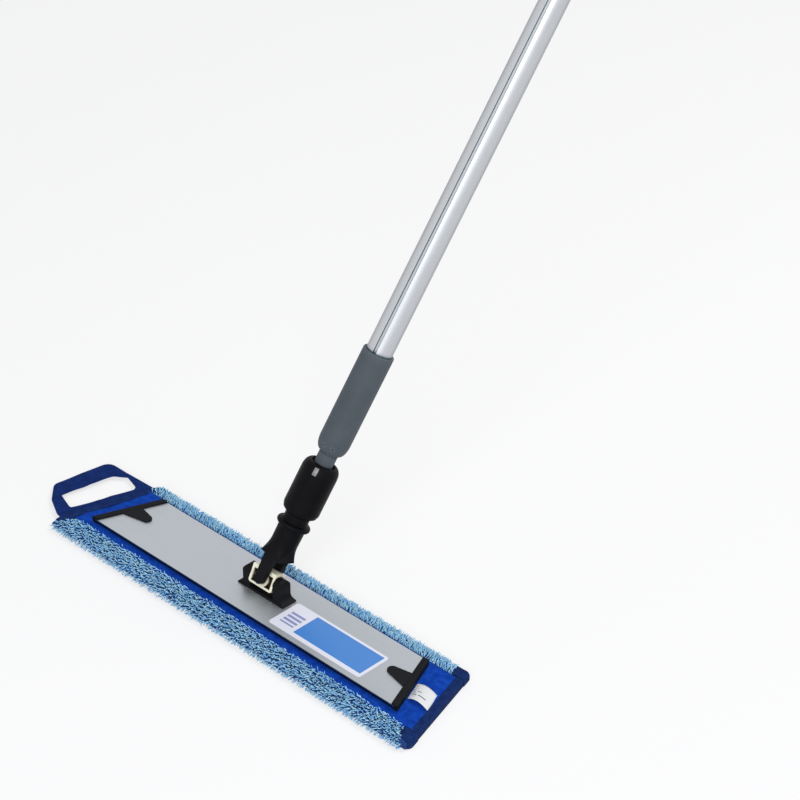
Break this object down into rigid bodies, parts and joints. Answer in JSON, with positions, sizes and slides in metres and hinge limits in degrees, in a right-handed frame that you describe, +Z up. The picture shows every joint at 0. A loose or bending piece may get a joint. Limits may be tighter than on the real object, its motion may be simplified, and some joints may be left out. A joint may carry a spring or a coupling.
{
  "type": "flat mop",
  "caption": "Flat mop with a trapezoid hook-and-loop frame on a two-way swivel, a clamped telescopic pole, and a fringed microfibre pad that lifts off.",
  "frame": {"origin": "on the floor, at the underside of the pad, under the centre of the frame plate", "axes": "+X along the head to its right end, +Y to the short side of the head where the user stands, +Z up"},
  "size_m": [0.5223, 0.5508, 0.9749],
  "materials": {
    "aluminium": "satin anodised",
    "black_plastic": "fine moulded grain",
    "grey_plastic": "fine moulded grain",
    "cream_plastic": "smooth moulded",
    "steel": "plain steel",
    "grip_rubber": "soft matt",
    "hook_fabric": "woven hook tape",
    "label_film": "printed film",
    "loop_face": "brushed loop fabric",
    "backing": "woven backing",
    "fringe": "twisted microfibre loops",
    "pile": "microfibre loop pile",
    "binding": "woven navy tape",
    "webbing": "woven navy webbing",
    "tag": "satin tape"
  },
  "bodies": {
    "pole": {"outer_tube": "aluminium", "cone_adaptor": "grey_plastic", "twist_ferrule": "black_plastic"},
    "twist": {"twist_collar": "grey_plastic"},
    "upper": {"inner_tube": "aluminium", "guide_plug": "black_plastic", "grip": "grip_rubber", "hang_cap": "grey_plastic"},
    "yoke": {"yoke": "black_plastic"},
    "collar": {"lock_collar": "black_plastic"},
    "gimbal": {"gimbal_block": "cream_plastic", "fork_pin": "steel"},
    "head": {"frame_plate": "aluminium", "end_cap_left": "black_plastic", "end_cap_right": "black_plastic", "cap_rivet_left": "steel", "cap_rivet_right": "steel", "hook_strip_front": "hook_fabric", "hook_strip_back": "hook_fabric", "info_label": "label_film", "swivel_base": "black_plastic", "base_rivet_left": "steel", "base_rivet_right": "steel", "trunnion_left": "steel", "trunnion_right": "steel"},
    "pad": {"pad_pile": "pile", "pad_backing": "backing", "pad_face": "loop_face", "fringe_front": "fringe", "fringe_back": "fringe", "binding_left": "binding", "binding_right": "binding", "hang_loop": "webbing", "care_tag": "tag"}
  },
  "joints": [
    {"name": "telescope", "type": "slide", "parent": "pole", "child": "upper", "axis": [0.1564, 0.4515, 0.8785], "range_m": [0, 0.43]},
    {"name": "twist_turn", "type": "hinge", "parent": "pole", "child": "twist", "pos_m": [0.13569, 0.3946, 0.78998], "axis": [0.1564, 0.4515, 0.8785], "range_deg": [0, 120]},
    {"name": "socket_pull", "type": "slide", "parent": "pole", "child": "yoke", "axis": [-0.1564, -0.4515, -0.8785], "range_m": [0, 0.06]},
    {"name": "collar_turn", "type": "hinge", "parent": "yoke", "child": "collar", "pos_m": [0.01533, 0.04724, 0.11409], "axis": [0.1564, 0.4515, 0.8785], "range_deg": [0, 90]},
    {"name": "fork_roll", "type": "hinge", "parent": "yoke", "child": "gimbal", "pos_m": [0, 0.003, 0.028], "axis": [0, 0.8894, -0.4571], "range_deg": [-21, 39]},
    {"name": "head_pitch", "type": "hinge", "parent": "gimbal", "child": "head", "pos_m": [0, 0.003, 0.028], "axis": [1, 0, 0], "range_deg": [-112.2, 57.8]},
    {"name": "pad_peel", "type": "slide", "parent": "head", "child": "pad", "axis": [0, 0, -1], "range_m": [0, 0.05]}
  ]
}
